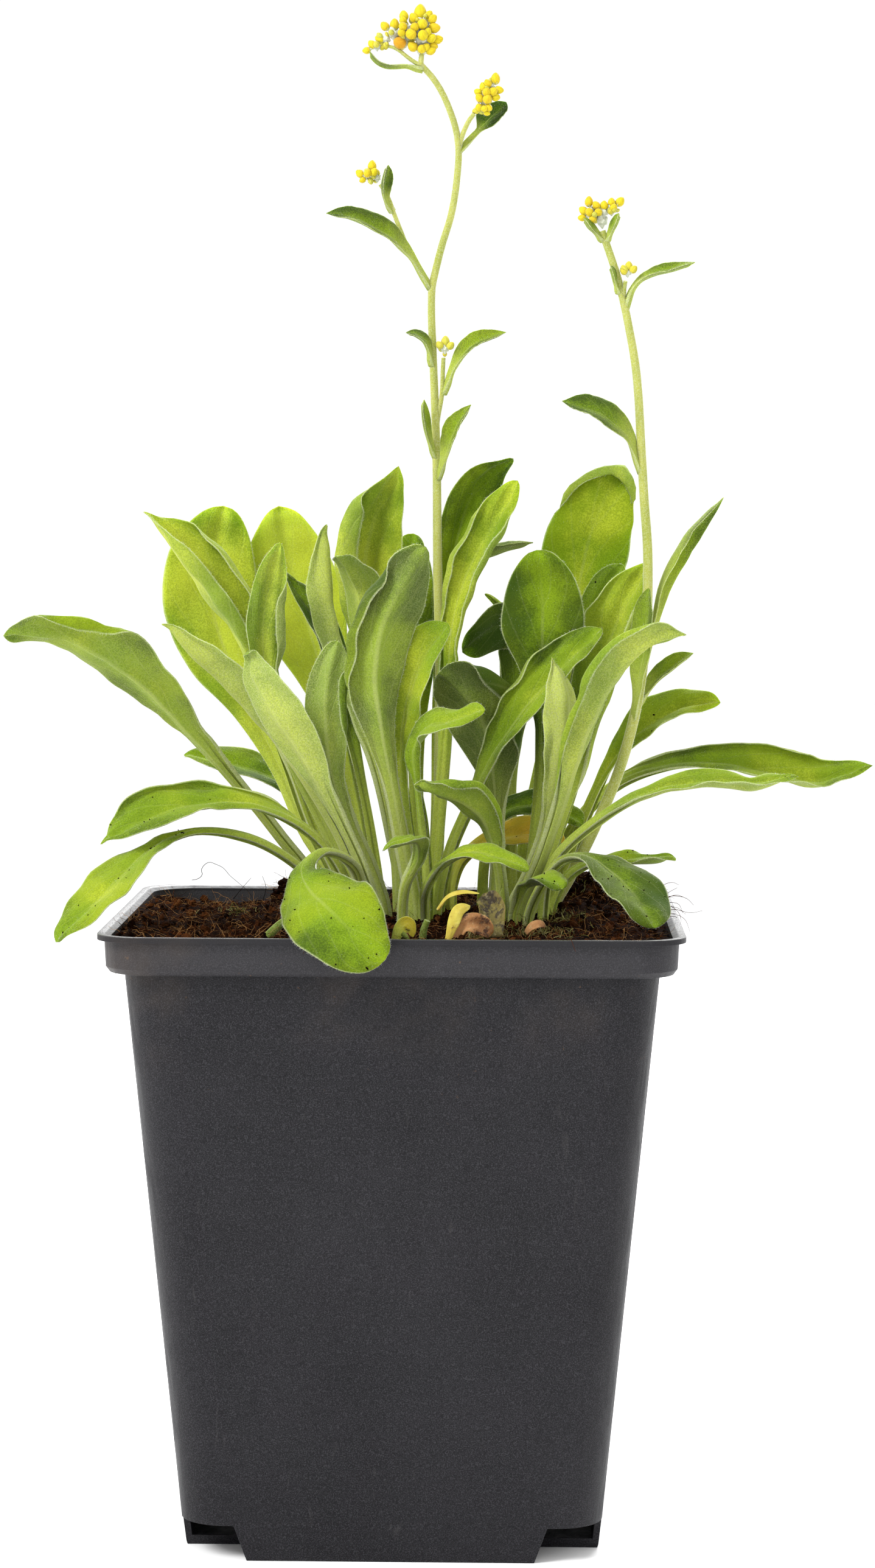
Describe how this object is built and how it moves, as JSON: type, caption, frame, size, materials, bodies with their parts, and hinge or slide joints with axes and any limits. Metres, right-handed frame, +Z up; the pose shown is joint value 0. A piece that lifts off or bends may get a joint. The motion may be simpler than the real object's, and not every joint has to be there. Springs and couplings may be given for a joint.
{
  "type": "potted basket of gold",
  "caption": "Young perennial with felted spoon-shaped leaves and yellow bud heads on upright stems, standing in a square tapered nursery pot of peat.",
  "frame": {"origin": "middle of the pot's flat underside, on the surface it stands on", "axes": "+Z up, -Y towards the front of the pot, +X to the right seen from the front"},
  "size_m": [0.139, 0.096, 0.2441],
  "materials": {
    "pot": "anthracite moulded plastic, faint grain, scuffed and dusty",
    "soil": "moist fibrous peat with moss and roots",
    "leaf": "yellow-green leaf with short woolly felt",
    "yellowing_leaf": "ageing leaf, yellow with an orange edge",
    "stem": "pale green stem with fine down",
    "bud": "closed yellow bud, satin",
    "young_bud": "pale woolly young bud",
    "dead_leaf": "dry papery leaf"
  },
  "bodies": {
    "root": {"buds_left": "bud", "buds_right": "bud", "buds_right_small": "young_bud", "buds_small_pale": "young_bud", "buds_top": "bud", "buds_upper_right": "bud", "dead_leaf_olive": "dead_leaf", "dead_leaf_yellow": "dead_leaf", "flower_stem_centre": "stem", "flower_stem_right": "stem", "leaf_back_centre": "leaf", "leaf_back_dark_strip": "leaf", "leaf_back_left_broad": "leaf", "leaf_back_right": "leaf", "leaf_back_small": "leaf", "leaf_back_yellow": "leaf", "leaf_beside_stem_dark": "leaf", "leaf_beside_stem_light": "leaf", "leaf_big_centre": "leaf", "leaf_centre_bright": "leaf", "leaf_centre_folded": "leaf", "leaf_crossing": "leaf", "leaf_dark_arch": "leaf", "leaf_dark_folded": "leaf", "leaf_dark_oblong": "leaf", "leaf_front_arch": "leaf", "leaf_front_hanging": "leaf", "leaf_front_left_long": "leaf", "leaf_front_left_spoon": "leaf", "leaf_front_right_arch": "leaf", "leaf_front_right_droop": "leaf", "leaf_front_spoon": "leaf", "leaf_front_twisted": "leaf", "leaf_left_arch": "leaf", "leaf_left_channelled": "leaf", "leaf_left_hanging": "leaf", "leaf_left_narrow": "leaf", "leaf_left_small": "leaf", "leaf_low_back_left": "leaf", "leaf_pale_triangle": "leaf", "leaf_pale_upright": "leaf", "leaf_right_cup": "leaf", "leaf_right_lance": "leaf", "leaf_right_long": "leaf", "leaf_right_low": "leaf", "leaf_right_mid": "leaf", "leaf_right_small": "leaf", "leaf_round_spoon": "leaf", "leaf_small_forward": "leaf", "leaf_small_light": "leaf", "leaf_tall_back_broad": "leaf", "leaf_top_centre": "leaf", "leaf_yellowing": "yellowing_leaf", "leaf_young": "leaf", "pot": "pot", "soil": "soil"}
  },
  "joints": []
}
